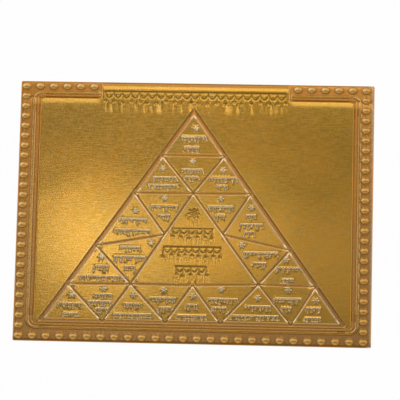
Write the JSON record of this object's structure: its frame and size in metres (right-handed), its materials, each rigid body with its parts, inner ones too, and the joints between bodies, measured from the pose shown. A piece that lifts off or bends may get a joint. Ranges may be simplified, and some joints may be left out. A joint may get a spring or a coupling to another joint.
{
  "type": "embossed yantra plate",
  "caption": "Rectangular embossed foil plate with a triangle lattice in a double frame and a beaded border, folded round a stiff card.",
  "frame": {"origin": "middle of the underside, on the surface that the plate lies on", "axes": "+X along the long side, to the right as the plate is looked at; +Y towards the plain header strip; +Z out of the embossed face"},
  "size_m": [0.11, 0.081, 0.0022],
  "materials": {
    "foil": "gold-toned stamped copper foil, satin, with copper brown in the sunk lines",
    "board": "plain grey-brown card, matt"
  },
  "bodies": {
    "root": {"embossed_foil": "foil", "backing_board": "board"}
  },
  "joints": []
}
